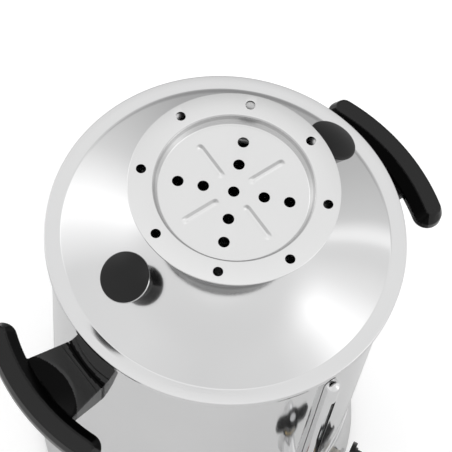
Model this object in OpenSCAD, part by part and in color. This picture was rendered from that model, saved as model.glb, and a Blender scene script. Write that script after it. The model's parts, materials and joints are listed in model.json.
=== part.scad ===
// Electric samovar: a steel tank with a domed lid, a teapot crown, a tap and a sight gauge.
// The origin is on the tank's axis at floor level, the tap points to -Y, the handles lie on X.

/* [Tank and base] */
// Outside radius of the tank
body_r = 125; // [110:1:150]
// Height of the lid's brim above the floor
brim_z = 375; // [340:1:420]
// Thickness of the steel sheet
sheet = 1; // [0.8:0.1:1.6]
// Height of the tank's floor above the table
floor_z = 70; // [64:1:84]
// Radius of the tank's lower corner
tank_corner = 12; // [8:1:16]
// Flare of the base past the tank's wall
base_out = 12; // [8:1:40]
// Height at which the flare begins
flare_top_z = 100; // [94:1:112]
// Height of the base's upright band
band_z = 24; // [20:1:30]
// Height of the bottom plate above the table
plate_z = 8; // [6:1:10]

/* [Lid and crown] */
// Overhang of the lid's brim past the tank's wall
lid_out = 5; // [4.5:0.5:12]
// Width of the brim from the tank's inside to the dome
brim_in = 5.5; // [4:0.5:7]
// Radius of the dome's sphere
dome_r = 190; // [180:1:220]
// Dip of the brim where it meets the dome
brim_dish = 0.35; // [0.1:0.05:1]
// Radius of the crown's flange
crown_r = 73; // [70:1:80]
// Height of the crown's flange above the brim
crown_h = 74; // [66:1:90]
// Outside radius of the crown's neck at its foot
neck_r = 56; // [54:1:62]
// Radius of the round recess that the teapot stands in, at its upper edge
recess_r = 56; // [52:0.2:57]
// Depth of that recess
recess_d = 7.7; // [5:0.1:10]
// Radius of the circle of holes in the flange
flange_hole_ring = 64.7; // [62:0.1:67]
// Diameter of the flange holes
flange_hole_d = 7; // [5:0.5:8]
// Radius of the inner ring of steam holes
steam_ring_in = 21.2; // [18:0.1:24]
// Radius of the outer ring of steam holes
steam_ring_out = 38.9; // [35:0.1:43]
// Diameter of the steam holes
steam_hole_d = 8; // [5:0.5:9]
// Turn of the hole pattern against the tap
crown_turn = 42.5; // [0:0.1:90]

/* [Lid knobs] */
// Diameter of a lid knob
knob_d = 36; // [30:0.2:40]
// Height of a lid knob
knob_h = 26.5; // [24:0.5:32]
// Angle of a knob on the dome
knob_tilt = 25.4; // [24.5:0.1:27]

/* [Handles] */
// Distance from the tank's wall to the middle of the grip
grip_reach = 46; // [37:1:60]
// Radius of the grip's curve
grip_curve = 130; // [110:1:170]
// Length of the grip from end to end
grip_len = 126.5; // [105:0.5:140]
// Thickness of the grip
grip_t = 24; // [18:0.5:26]
// Height of the grip
grip_h = 18; // [16:0.5:24]
// Drop from the brim to the middle of the grip
grip_drop = 70; // [62:1:90]
// Width of the handle's neck at the tank
handle_neck_w = 41.5; // [36:0.5:50]
// Height of the handle's neck at the tank
handle_neck_h = 30; // [26:0.5:36]

/* [Tap] */
// Height of the tap's axis
tap_z = 128; // [122:1:150]
// Distance from the tank's wall to the tap's plug
tap_reach = 42; // [36:1:60]
// Radius of the tap's waterway
water_r = 5; // [3.5:0.5:5]
// Radius of the tap's plug
plug_r = 7; // [6.6:0.2:8]
// Radius of the bend in the spout
bend_r = 18; // [14:1:26]
// Length of the lever
lever_len = 46; // [36:1:60]

/* [Gauge] */
// Drop from the brim to the top of the gauge
gauge_drop = 28; // [24:1:60]
// Height of the gauge's foot
gauge_foot_z = 162; // [156:1:190]
// Width of the gauge's guard
gauge_w = 11; // [10.5:0.5:14]
// Radius of the gauge's glass tube
glass_r = 2.8; // [2.6:0.1:3]

/* [Heater and controls] */
// Radius of the heating element's loop
loop_r = 72; // [50:1:90]
// Radius of the element's tube
element_r = 4.2; // [3:0.1:5]
// Height of the loop above the tank's floor
loop_lift = 22; // [18:1:30]
// Height of the controls above the table
control_z = 52; // [48:1:56]
// Angle of the thermostat from the tap
dial_turn = 28; // [22:1:40]
// Diameter of the thermostat knob
dial_d = 34; // [28:1:38]

/* [Hidden] */
$fn = 96;

// Clearances: a seam between two fixed pieces, a loose hole, a turning fit and a small overshoot
seam = 0.1;
loose = 0.3;
running = 0.05;
cut = 1;

// Tank and base
base_r = body_r + base_out;
rim_z = brim_z - sheet;
rim_w = 3.5;
rim_t = 1.4;
tank_in_r = body_r - sheet;
floor_top_z = floor_z + sheet;
skirt_in_r = body_r + seam;
skirt_r = skirt_in_r + sheet;
flare_fall = flare_top_z - band_z;
flare_out = base_r - skirt_r;
flare_curve = (flare_fall * flare_fall + flare_out * flare_out) / (2 * flare_out);
// Outside radius of the flare at a given height
function flare_r(z) = skirt_r + flare_curve - sqrt(pow(flare_curve, 2) - pow(flare_top_z - z, 2));
hem_w = 10;
collar_lap = 5;
plate_t = 1.5;
hem_z = plate_z + plate_t;
plate_r = base_r - sheet - loose;
seat_t = 1.5;
seat_lap = 8;
stud_ring = 84;
stud_r = 3;
foot_r = 14;
foot_gap = 3;
foot_ring = base_r - hem_w - foot_r - foot_gap;
foot_screw_out = 7;
vent_ring = 50;
vent_len = 16;
vent_w = 4;
plate_screw_r = 1.5;
plate_screw_len = 6;
foot_screw_r = 2.5;
foot_screw_head = 2.5;

// Lid and crown
lid_r = body_r + lid_out;
brim_flat = lid_r - tank_in_r + loose;
dome_edge = tank_in_r - brim_in;
dome_edge_z = brim_z - brim_dish;
dome_z = dome_edge_z - sqrt(dome_r * dome_r - dome_edge * dome_edge);
hem_drop = 6;
lip_drop = 6;
lip_r = tank_in_r - 1.5;
seat_w = 1.2;
collar_h = 10;
collar_r = neck_r - sheet - loose;
seat_out_r = neck_r + seat_w;
crown_seat_z = dome_z + sqrt(dome_r * dome_r - seat_out_r * seat_out_r);
crown_sheet = 1.2;
crown_z = brim_z + crown_h;
neck_top_r = crown_r - 1.6;
recess_z = crown_z - recess_d;
recess_slope = 3.7;
recess_floor_r = recess_r - recess_slope;
recess_lap = crown_sheet * tan(atan2(recess_d, recess_slope) / 2);
rib_w = 5;
rib_rise = 0.9;
rib_from = 17;
rib_end = 8.3;
rib_to = recess_floor_r - rib_end;

// Lid knobs
knob_screw_r = 2.5;
knob_foot_r = knob_d * 0.3;
knob_foot_h = knob_h * 0.3;
knob_rim = 1.2;
knob_swell = 2.2;
knob_hole_d = knob_h * 0.6;
knob_washer_t = 1.2;
washer_gap = 0.25;

// Handles
grip_x = body_r + grip_reach;
grip_z = brim_z - grip_drop;
grip_end = asin((grip_len / 2 - grip_t / 2) / grip_curve);
neck_spread = 20;
neck_top_z = grip_z;
grip_slope = 7;
grip_soft = 4;
neck_root = body_r + loose;
step_in = 5;
groove_w = 1.2;
groove_d = 1;
scoop_from = 14.7;
scoop_plan = 32.3;
scoop_r = 65;
scoop_lift = sqrt(scoop_r * scoop_r - scoop_plan * scoop_plan);
screw_gap = 24;
handle_screw_r = 3;
handle_screw_len = 22;
handle_screw_z = neck_top_z - handle_neck_h * 0.35;
handle_washer_t = 1.5;
handle_washer_r = 7;
handle_bore_out = 10;

// Tap
shank_r = water_r + 3;
shank_in = 14;
tap_flange_r = 15;
tap_flange_t = 5;
gasket_t = 4;
barrel_r = plug_r + 4.5;
barrel_h = 40;
plug_y = body_r + tap_reach;
barrel_top_z = tap_z + barrel_h / 2;
spout_r = water_r + 2.6;
bend_y = plug_y + barrel_r;
nozzle_len = 14;
plug_head_r = plug_r + 2;
plug_head_h = 3;
stem_side = 7;
stem_h = 9;
plug_tail = 5;
clip_t = 1.2;
lever_hub_r = 10;
lever_hub_h = 13;
lever_screw_r = 2;
nut_t = 6;

// Gauge
gauge_r = gauge_w / 2;
guard_t = 0.9;
gauge_y = body_r + glass_r + 2 * loose;
gauge_top_z = brim_z - gauge_drop;
gauge_eye_z = gauge_top_z - gauge_r;
glass_wall = 0.8;
fitting_r = gauge_r - guard_t - loose;
fitting_h = 16;
socket_d = 7;
seal_t = 2;
port_r = 3;
port_in = 12;
port_shift = 3;
upper_port_z = gauge_eye_z - fitting_h / 2 + port_shift;
lower_port_z = gauge_foot_z + fitting_h / 2 - port_shift;
glass_low_z = gauge_foot_z + fitting_h - socket_d + seal_t;
glass_high_z = gauge_eye_z - fitting_h + socket_d - seal_t;
slot_w = 4;

// Heater and controls
loop_z = floor_top_z + loop_lift;
loop_gap = 15;
leg_angles = [90 - loop_gap, 90 + loop_gap];
leg_end_z = floor_z - 20;
tail_len = 10;
collar_lift = 6;
leg_r = element_r + 1;
gland_r = leg_r + 3;
gasket_rise = 2;
well_r = 5.5;
well_h = 46;
well_at = [-40, -24];
bulb_r = 3.6;
capillary_r = 1;
control_r = flare_r(control_z);
dial_angle = -90 + dial_turn;
lamp_angle = -90 - dial_turn;
stat_r = 15;
stat_depth = 20;
stat_gap = 12;
shaft_in = 9;
lamp_depth = 26;
lamp_body = 12;
terminal_y = 30;
pin_gap = 7;
bush_r = 5;
control_nut_r = bush_r + 3;
nut_off = flare_r(control_z - control_nut_r) - control_r + loose;
shaft_r = 3;
dial_h = 16;
dial_off = 9;
lens_r = 6;
inlet_w = 28;
inlet_h = 22;
inlet_face_y = base_r - 2;
inlet_depth = 30;
inlet_wall = 2.5;
socket_depth = 16;
terminal_w = 44;

// Colours
steel = [0.80, 0.80, 0.81];
bright = [0.86, 0.86, 0.87];
black = [0.06, 0.06, 0.065];
rubber = [0.12, 0.12, 0.12];
brass = [0.76, 0.62, 0.34];

// Turns a piece so that its +Z points along the radius at a given angle
module at_angle(angle, z) {
    translate([0, 0, z]) rotate([0, 0, angle]) rotate([0, 90, 0]) children();
}

// A piece whose +Z points to the front, at a given height
module to_front(z) {
    translate([0, 0, z]) rotate([90, 0, 0]) children();
}

// A ring standing on z = 0
module ring(outer, inner, height) {
    difference() {
        cylinder(r = outer, h = height);
        translate([0, 0, -cut]) cylinder(r = inner, h = height + 2 * cut);
    }
}

// A hexagon nut standing on z = 0
module hex_nut(across_r, bore_r, height) {
    difference() {
        cylinder(r = across_r, h = height, $fn = 6);
        translate([0, 0, -cut]) cylinder(r = bore_r, h = height + 2 * cut, $fn = 32);
    }
}

// The holes that the tap, the gauge and the handles need in the tank's wall
module wall_holes() {
    to_front(tap_z) cylinder(r = shank_r + loose, h = body_r + cut);
    for (z = [upper_port_z, lower_port_z]) to_front(z) cylinder(r = port_r + loose, h = body_r + cut);
    for (angle = [0, 180], side = [-1, 1])
        rotate([0, 0, angle]) translate([0, side * screw_gap / 2, handle_screw_z])
            rotate([0, 90, 0]) cylinder(r = handle_screw_r + loose, h = body_r + cut);
}

// The tank's upright wall with its turned-out rim
module tank() {
    color(steel) difference() {
        rotate_extrude() {
            translate([tank_in_r, floor_z + tank_corner]) square([sheet, rim_z - floor_z - tank_corner]);
            translate([tank_in_r, rim_z - rim_t]) square([rim_w, rim_t]);
        }
        wall_holes();
    }
}

// The tank's floor, a shallow pan welded to the wall
module tank_floor() {
    color(steel) difference() {
        rotate_extrude() {
            translate([0, floor_z]) square([body_r - tank_corner, sheet]);
            translate([body_r - tank_corner, floor_z + tank_corner]) intersection() {
                difference() {
                    circle(r = tank_corner);
                    circle(r = tank_corner - sheet);
                }
                translate([0, -tank_corner]) square(tank_corner);
            }
        }
        for (angle = leg_angles) rotate([0, 0, angle]) translate([loop_r, 0, floor_z - cut])
            cylinder(r = leg_r + loose, h = sheet + 2 * cut);
        translate([well_at.x, well_at.y, floor_z - cut]) cylinder(r = well_r + seam, h = sheet + 2 * cut);
    }
}

// Section of the flared base from its collar down to the upright band
module skirt_section() {
    translate([skirt_in_r, flare_top_z - collar_lap]) square([sheet, tank_corner / 2 + collar_lap]);
    intersection() {
        translate([skirt_r + flare_curve, flare_top_z]) difference() {
            circle(r = flare_curve + sheet, $fn = 360);
            circle(r = flare_curve, $fn = 360);
        }
        translate([skirt_in_r, band_z]) square([base_r - skirt_in_r, flare_fall]);
    }
    translate([base_r - sheet, hem_z]) square([sheet, band_z - hem_z + sheet]);
    translate([base_r - hem_w, hem_z]) square([hem_w, sheet]);
}

module base_skirt() {
    color(steel) difference() {
        rotate_extrude() skirt_section();
        at_angle(dial_angle, control_z) cylinder(r = bush_r + loose, h = base_r + cut);
        at_angle(lamp_angle, control_z) cylinder(r = lens_r - 1 + loose, h = base_r + cut);
        translate([-inlet_w / 2 - loose, 0, control_z - inlet_h / 2 - loose])
            cube([inlet_w + 2 * loose, base_r + cut, inlet_h + 2 * loose]);
        for (angle = [0 : 90 : 270]) rotate([0, 0, angle]) translate([base_r - hem_w / 2, 0, 0])
            cylinder(r = plate_screw_r + seam, h = hem_z + 2 * cut, $fn = 32);
    }
}

// Flat ring inside the base that the tank's floor stands on
module seat_ring() {
    outer = skirt_in_r + flare_curve + sheet
        - sqrt(pow(flare_curve + sheet, 2) - pow(flare_top_z - floor_z, 2)) - seam;
    color(steel) translate([0, 0, floor_z - seat_t])
        ring(outer, body_r - tank_corner - seat_lap, seat_t);
}

module bottom_plate() {
    color(steel) difference() {
        translate([0, 0, plate_z]) cylinder(r = plate_r, h = plate_t);
        for (angle = [0 : 90 : 270]) {
            rotate([0, 0, angle]) translate([base_r - hem_w / 2, 0, 0])
                cylinder(r = plate_screw_r + seam, h = hem_z + cut, $fn = 32);
            rotate([0, 0, angle + 45]) translate([foot_ring, 0, 0])
                cylinder(r = foot_screw_r + loose, h = hem_z + cut, $fn = 32);
        }
        for (angle = [30 : 120 : 270]) rotate([0, 0, angle]) translate([stud_ring, 0, 0])
            cylinder(r = stud_r + loose, h = hem_z + cut, $fn = 32);
        for (angle = [0 : 30 : 330]) rotate([0, 0, angle]) translate([vent_ring, -vent_w / 2, 0])
            cube([vent_len, vent_w, hem_z + cut]);
    }
}

module plate_screws() {
    color(bright) for (angle = [0 : 90 : 270]) rotate([0, 0, angle]) translate([base_r - hem_w / 2, 0, 0]) {
        translate([0, 0, plate_z - 2]) cylinder(r = 3, h = 2, $fn = 32);
        translate([0, 0, plate_z - seam]) cylinder(r = plate_screw_r, h = plate_screw_len, $fn = 32);
    }
}

module feet() {
    color(rubber) for (angle = [45 : 90 : 315])
        rotate([0, 0, angle]) translate([foot_ring, 0, 0]) difference() {
            cylinder(r1 = foot_r - 2, r2 = foot_r, h = plate_z);
            translate([0, 0, -cut]) cylinder(r = 5.5, h = plate_z / 2 + cut, $fn = 32);
            translate([0, 0, -cut]) cylinder(r = foot_screw_r + loose, h = plate_z + 2 * cut, $fn = 32);
        }
}

module foot_screws() {
    color(bright) for (angle = [45 : 90 : 315]) rotate([0, 0, angle]) translate([foot_ring, 0, 0]) {
        translate([0, 0, plate_z / 2 - foot_screw_head]) cylinder(r = 5, h = foot_screw_head, $fn = 32);
        translate([0, 0, plate_z / 2 - seam])
            cylinder(r = foot_screw_r, h = plate_z / 2 + plate_t + foot_screw_out, $fn = 32);
    }
}

module foot_nuts() {
    color(bright) for (angle = [45 : 90 : 315])
        rotate([0, 0, angle]) translate([foot_ring, 0, hem_z]) hex_nut(5, foot_screw_r + running, 4);
}

module tie_studs() {
    color(bright) for (angle = [30 : 120 : 270]) rotate([0, 0, angle]) translate([stud_ring, 0, 0]) {
        translate([0, 0, 3]) cylinder(r = stud_r, h = floor_z - 3, $fn = 32);
        translate([0, 0, floor_z - 3]) cylinder(r = stud_r + 3, h = 3, $fn = 32);
    }
}

module tie_nuts() {
    color(bright) for (angle = [30 : 120 : 270])
        rotate([0, 0, angle]) translate([stud_ring, 0, plate_z - 4.5]) hex_nut(5.8, stud_r + running, 4.5);
}

// Section of the lid: brim, dome, crown seat and collar
module lid_section() {
    translate([lid_r - brim_flat, brim_z - sheet]) square([brim_flat, sheet]);
    translate([lid_r - sheet, brim_z - hem_drop]) square([sheet, hem_drop]);
    translate([lip_r - sheet, rim_z - lip_drop]) square([sheet, lip_drop]);
    polygon([
        [dome_edge - sheet, dome_edge_z - sheet],
        [lid_r - brim_flat + seam, brim_z - sheet],
        [lid_r - brim_flat + seam, brim_z],
        [dome_edge, dome_edge_z]
    ]);
    intersection() {
        translate([0, dome_z]) difference() {
            circle(r = dome_r, $fn = 360);
            circle(r = dome_r - sheet, $fn = 360);
        }
        polygon([
            [0, dome_z],
            [dome_edge * 2, dome_z + (dome_edge_z - dome_z) * 2],
            [seat_out_r, dome_z + 2 * dome_r],
            [seat_out_r, dome_z]
        ]);
    }
    translate([collar_r - sheet, crown_seat_z - sheet]) square([seat_out_r - collar_r + 2 * sheet, sheet]);
    translate([collar_r - sheet, crown_seat_z - sheet]) square([sheet, collar_h + sheet]);
}

// Places a piece on the dome with its +Z along the dome's normal
module on_dome(side) {
    translate([0, 0, dome_z]) rotate([0, side * knob_tilt, 0]) translate([0, 0, dome_r]) children();
}

module lid() {
    color(steel) difference() {
        rotate_extrude() lid_section();
        for (side = [-1, 1]) on_dome(side)
            translate([0, 0, -3 * sheet]) cylinder(r = knob_screw_r + loose, h = 6 * sheet, $fn = 32);
    }
}

// Outline of a knob: a foot, a cone that widens to a fine rim and a slightly domed face
module knob_section() {
    edge = knob_d / 2 - knob_rim;
    lip_z = knob_h - knob_swell - knob_rim;
    face_r = (edge * edge + knob_swell * knob_swell) / (2 * knob_swell);
    square([knob_foot_r, knob_foot_h + cut]);
    polygon([
        [0, knob_foot_h],
        [knob_foot_r, knob_foot_h],
        [edge + knob_rim * 0.8, lip_z - knob_rim * 0.6],
        [edge, lip_z + knob_rim],
        [0, lip_z + knob_rim]
    ]);
    translate([edge, lip_z]) circle(r = knob_rim);
    intersection() {
        translate([0, knob_h - face_r]) circle(r = face_r, $fn = 360);
        translate([0, lip_z]) square([edge, 2 * knob_swell]);
    }
}

module lid_knob(side) {
    color(black) on_dome(side) translate([0, 0, seam]) difference() {
        rotate_extrude() knob_section();
        translate([0, 0, -cut]) cylinder(r = knob_screw_r + seam, h = knob_hole_d + cut, $fn = 32);
    }
}
module lid_knob_left() { lid_knob(-1); }
module lid_knob_right() { lid_knob(1); }

module knob_screws() {
    color(bright) for (side = [-1, 1]) on_dome(side) {
        translate([0, 0, -sheet - knob_washer_t - washer_gap - 3]) cylinder(r = 4.6, h = 3, $fn = 32);
        translate([0, 0, -sheet - knob_washer_t - 1])
            cylinder(r = knob_screw_r, h = knob_hole_d + sheet + knob_washer_t, $fn = 32);
    }
}

module knob_washers() {
    color(bright) for (side = [-1, 1]) on_dome(side)
        translate([0, 0, -sheet - knob_washer_t - washer_gap])
            ring(6.5, knob_screw_r + seam, knob_washer_t);
}

// One pressed rib on the crown, with round ends
module rib() {
    translate([rib_from, -rib_w / 2, 0]) cube([rib_to - rib_from, rib_w, rib_rise]);
    for (x = [rib_from, rib_to]) translate([x, 0, 0]) cylinder(r = rib_w / 2, h = rib_rise, $fn = 32);
}

// Section of the crown's plate: floor, sloping wall and flange
module crown_section() {
    polygon([
        [0, recess_z - crown_sheet],
        [recess_floor_r + recess_lap, recess_z - crown_sheet],
        [recess_r + recess_lap, crown_z - crown_sheet],
        [crown_r, crown_z - crown_sheet],
        [crown_r, crown_z],
        [recess_r, crown_z],
        [recess_floor_r, recess_z],
        [0, recess_z]
    ]);
}

module crown_plate() {
    color(bright) difference() {
        union() {
            rotate_extrude() crown_section();
            for (k = [0 : 3]) rotate([0, 0, crown_turn + 45 + 90 * k])
                translate([0, 0, recess_z - seam]) rib();
        }
        for (k = [0 : 7]) rotate([0, 0, crown_turn + 45 * k]) translate([flange_hole_ring, 0, crown_z - 5])
            cylinder(r = flange_hole_d / 2, h = 10, $fn = 32);
        translate([0, 0, recess_z - 5]) cylinder(r = steam_hole_d / 2, h = 10, $fn = 32);
        for (k = [0 : 3], x = [steam_ring_in, steam_ring_out])
            rotate([0, 0, crown_turn + 90 * k]) translate([x, 0, recess_z - 5])
                cylinder(r = steam_hole_d / 2, h = 10, $fn = 32);
    }
}

module crown_neck() {
    top = crown_z - crown_sheet;
    color(bright) rotate_extrude() polygon([
        [neck_r - sheet, crown_seat_z],
        [neck_r, crown_seat_z],
        [neck_top_r, top],
        [neck_top_r - sheet, top]
    ]);
}

// Outline of the grip, centred on the origin: flat top and bottom, a chamfer on the tank's side
module grip_outline() {
    half = grip_t / 2;
    top = grip_h / 2;
    polygon([
        [-half, -top + grip_soft],
        [-half + grip_soft, -top],
        [half - grip_soft, -top],
        [half, -top + grip_soft],
        [half, top - grip_soft / 2],
        [half - grip_soft / 2, top],
        [-half + grip_slope, top],
        [-half, top - grip_slope]
    ]);
}

// Plan of the grip with round ends, a little wider than its outline
module grip_plan() {
    spare = 0.5;
    difference() {
        intersection() {
            circle(r = grip_curve + grip_t / 2 + spare);
            polygon([
                [0, 0],
                [grip_curve * 2, -grip_curve * 2 * tan(grip_end)],
                [grip_curve * 2, grip_curve * 2 * tan(grip_end)]
            ]);
        }
        circle(r = grip_curve - grip_t / 2 - spare);
    }
    for (side = [-1, 1]) rotate([0, 0, side * grip_end]) translate([grip_curve, 0])
        circle(r = grip_t / 2 + spare);
}

// The curved bar, with round ends, for a handle on +X
module grip() {
    turn = grip_end + asin(grip_t / grip_curve);
    translate([grip_x - grip_curve, 0, grip_z]) intersection() {
        rotate([0, 0, -turn]) rotate_extrude(angle = 2 * turn) translate([grip_curve, 0]) grip_outline();
        translate([0, 0, -grip_h]) linear_extrude(2 * grip_h) grip_plan();
    }
}

// Plan of the neck: a block that widens from the tank to the grip
module neck_plan() {
    half = handle_neck_w / 2;
    wide = half + neck_spread / 2;
    polygon([
        [neck_root - 4, -half],
        [grip_x, -wide],
        [grip_x, wide],
        [neck_root - 4, half]
    ]);
}

// Side view of the neck: its underside rises from the tank to the grip
module neck_side() {
    polygon([
        [neck_root - 5, neck_top_z - handle_neck_h - cut],
        [grip_x + cut, grip_z - grip_h / 2 + 2],
        [grip_x + cut, neck_top_z + cut],
        [neck_root - 5, neck_top_z + cut]
    ]);
}

module handle(angle) {
    color(black) rotate([0, 0, angle]) difference() {
        union() {
            grip();
            difference() {
                intersection() {
                    translate([0, 0, neck_top_z - handle_neck_h]) linear_extrude(handle_neck_h) neck_plan();
                    translate([0, handle_neck_w, 0]) rotate([90, 0, 0])
                        linear_extrude(2 * handle_neck_w) neck_side();
                }
                translate([neck_root + scoop_from + scoop_plan, 0, neck_top_z + scoop_lift])
                    sphere(r = scoop_r, $fn = 180);
                translate([neck_root + step_in, -handle_neck_w, neck_top_z - groove_d])
                    cube([groove_w, 2 * handle_neck_w, 2 * groove_d]);
            }
        }
        translate([0, 0, grip_z - 2 * handle_neck_h])
            cylinder(r = neck_root, h = 4 * handle_neck_h, $fn = 180);
        for (side = [-1, 1]) translate([neck_root - handle_bore_out, side * screw_gap / 2, handle_screw_z])
            rotate([0, 90, 0])
                cylinder(r = handle_screw_r + seam, h = handle_screw_len + handle_bore_out, $fn = 32);
    }
}
module handle_right() { handle(0); }
module handle_left() { handle(180); }

// Where the tank's inside wall lies at a handle screw
function chord(radius, offset) = sqrt(radius * radius - offset * offset);

module handle_screws() {
    seat = chord(tank_in_r, screw_gap / 2 + handle_washer_r) - handle_washer_t;
    color(bright) for (angle = [0, 180], side = [-1, 1]) rotate([0, 0, angle])
        translate([seat, side * screw_gap / 2, handle_screw_z]) rotate([0, 90, 0]) {
            translate([0, 0, -4]) cylinder(r = 5, h = 4, $fn = 32);
            translate([0, 0, -seam]) cylinder(r = handle_screw_r, h = handle_screw_len, $fn = 32);
        }
}

module handle_washers() {
    seat = chord(tank_in_r, screw_gap / 2 + handle_washer_r);
    color(rubber) for (angle = [0, 180], side = [-1, 1]) rotate([0, 0, angle])
        translate([seat - handle_washer_t, side * screw_gap / 2, handle_screw_z])
            rotate([0, 90, 0]) ring(handle_washer_r, handle_screw_r + seam, handle_washer_t);
}

module tap_body() {
    color(bright) difference() {
        union() {
            to_front(tap_z) {
                translate([0, 0, body_r - shank_in]) cylinder(r = shank_r, h = shank_in + gasket_t + 1);
                translate([0, 0, body_r + gasket_t]) cylinder(r = tap_flange_r, h = tap_flange_t);
                translate([0, 0, body_r + gasket_t]) cylinder(r = shank_r + 0.8, h = tap_reach - gasket_t);
                translate([0, 0, plug_y]) cylinder(r = spout_r, h = barrel_r);
            }
            translate([0, -plug_y, tap_z - barrel_h / 2]) cylinder(r = barrel_r, h = barrel_h);
            translate([0, -bend_y, tap_z - bend_r]) rotate([0, 90, 0]) rotate([0, 0, 180])
                rotate_extrude(angle = 90) translate([bend_r, 0]) circle(r = spout_r);
            translate([0, -bend_y - bend_r, tap_z - bend_r - nozzle_len])
                cylinder(r1 = spout_r - 0.6, r2 = spout_r, h = nozzle_len);
        }
        to_front(tap_z) translate([0, 0, body_r - shank_in - cut])
            cylinder(r = water_r, h = tap_reach + shank_in + barrel_r + cut);
        translate([0, -bend_y, tap_z - bend_r]) rotate([0, 90, 0]) rotate([0, 0, 180])
            rotate_extrude(angle = 90) translate([bend_r, 0]) circle(r = water_r);
        translate([0, -bend_y - bend_r, tap_z - bend_r - nozzle_len - cut])
            cylinder(r = water_r, h = nozzle_len + cut);
        translate([0, -plug_y, tap_z - barrel_h]) cylinder(r = plug_r + running, h = 2 * barrel_h);
    }
}

// Rubber pad between the tap's flat flange and the round tank
module tap_gasket() {
    color(rubber) difference() {
        to_front(tap_z) translate([0, 0, body_r - 4]) ring(tap_flange_r, shank_r + seam, gasket_t + 4);
        cylinder(r = body_r + seam, h = brim_z, $fn = 180);
    }
}

module tap_washer() {
    depth = tank_in_r - chord(tank_in_r, shank_r + 5);
    color(rubber) to_front(tap_z) translate([0, 0, tank_in_r - depth - 2])
        ring(shank_r + 4.5, shank_r + seam, 2);
}

module tap_nut() {
    depth = tank_in_r - chord(tank_in_r, shank_r + 5);
    color(brass) to_front(tap_z) translate([0, 0, tank_in_r - depth - 2 - nut_t])
        hex_nut(shank_r + 5, shank_r + running, nut_t);
}

module tap_plug() {
    color(brass) translate([0, -plug_y, 0]) difference() {
        union() {
            translate([0, 0, barrel_top_z - barrel_h - plug_tail])
                cylinder(r = plug_r, h = barrel_h + plug_tail);
            translate([0, 0, barrel_top_z]) cylinder(r = plug_head_r, h = plug_head_h);
            translate([-stem_side / 2, -stem_side / 2, barrel_top_z + plug_head_h - seam])
                cube([stem_side, stem_side, stem_h + seam]);
        }
        translate([-barrel_r, 0, tap_z]) rotate([0, 90, 0]) cylinder(r = water_r, h = 2 * barrel_r);
        translate([0, 0, barrel_top_z + plug_head_h])
            cylinder(r = lever_screw_r + seam, h = stem_h + cut, $fn = 32);
        translate([0, 0, barrel_top_z - barrel_h - running - clip_t - seam])
            ring(plug_r + cut, plug_r - 1, clip_t + seam);
    }
}

module tap_clip() {
    color(bright) translate([0, -plug_y, barrel_top_z - barrel_h - running - clip_t])
        ring(plug_r + 2, plug_r - 1 + running, clip_t - seam);
}

module tap_lever() {
    base = barrel_top_z + plug_head_h + seam;
    tip = lever_len / 2 - 6;
    color(black) translate([0, -plug_y, base]) difference() {
        union() {
            cylinder(r1 = lever_hub_r - 1, r2 = lever_hub_r, h = lever_hub_h);
            hull() for (x = [-tip, tip]) translate([x, 0, 3])
                cylinder(r = 6, h = lever_hub_h - 2, $fn = 32);
        }
        translate([-stem_side / 2 - seam, -stem_side / 2 - seam, -cut])
            cube([stem_side + 2 * seam, stem_side + 2 * seam, stem_h + cut]);
        cylinder(r = lever_screw_r + loose, h = 2 * lever_hub_h, $fn = 32);
        translate([0, 0, lever_hub_h - 1]) cylinder(r = 4.5, h = 2 * lever_hub_h, $fn = 32);
    }
}

module tap_lever_screw() {
    base = barrel_top_z + plug_head_h + seam;
    color(bright) translate([0, -plug_y, base]) {
        translate([0, 0, lever_hub_h - 1]) cylinder(r = 4, h = 2.4, $fn = 32);
        translate([0, 0, 2]) cylinder(r = lever_screw_r, h = lever_hub_h - 2.5, $fn = 32);
    }
}

// A round-topped column that stands out from the tank's wall, for the guard and its hollow
module gauge_column(radius, from_z, eye_z) {
    translate([-radius, -gauge_y, from_z]) cube([2 * radius, gauge_y - body_r + 4, eye_z - from_z]);
    translate([0, -gauge_y, from_z]) cylinder(r = radius, h = eye_z - from_z);
    translate([0, -gauge_y, eye_z]) sphere(r = radius);
    translate([0, 0, eye_z]) rotate([90, 0, 0]) translate([0, 0, body_r - 4])
        cylinder(r = radius, h = gauge_y - body_r + 4);
}

module gauge_guard() {
    color(bright) difference() {
        gauge_column(gauge_r, gauge_foot_z, gauge_eye_z);
        gauge_column(gauge_r - guard_t, gauge_foot_z - cut, gauge_eye_z);
        cylinder(r = body_r + loose, h = brim_z, $fn = 180);
        translate([-slot_w / 2, -gauge_y - 2 * gauge_r, gauge_foot_z + fitting_h + 6])
            cube([slot_w, 2 * gauge_r, gauge_eye_z - gauge_foot_z - 2 * fitting_h - 12]);
    }
}

module gauge_glass() {
    color([0.8, 0.9, 0.92, 0.4]) translate([0, -gauge_y, glass_low_z])
        ring(glass_r, glass_r - glass_wall, glass_high_z - glass_low_z);
}

// A gauge fitting: a round block with a socket for the glass and a pipe through the tank's wall
module gauge_fitting(low_z, port_z, socket_z) {
    difference() {
        union() {
            difference() {
                translate([0, -gauge_y, low_z]) cylinder(r = fitting_r, h = fitting_h);
                cylinder(r = body_r + loose, h = brim_z, $fn = 180);
            }
            to_front(port_z) translate([0, 0, body_r - port_in])
                cylinder(r = port_r, h = gauge_y - body_r + port_in);
        }
        translate([0, -gauge_y, socket_z]) cylinder(r = glass_r + running, h = socket_d + cut);
        to_front(port_z) translate([0, 0, body_r - port_in - cut])
            cylinder(r = port_r - 1.5, h = gauge_y - body_r + port_in + cut, $fn = 48);
        translate([0, -gauge_y, min(port_z, socket_z)])
            cylinder(r = port_r - 1.5, h = abs(socket_z - port_z) + socket_d, $fn = 48);
    }
}

module gauge_upper_fitting() {
    color(bright) gauge_fitting(gauge_eye_z - fitting_h, upper_port_z, gauge_eye_z - fitting_h - cut);
}

module gauge_lower_fitting() {
    color(bright) gauge_fitting(gauge_foot_z, lower_port_z, gauge_foot_z + fitting_h - socket_d);
}

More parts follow.
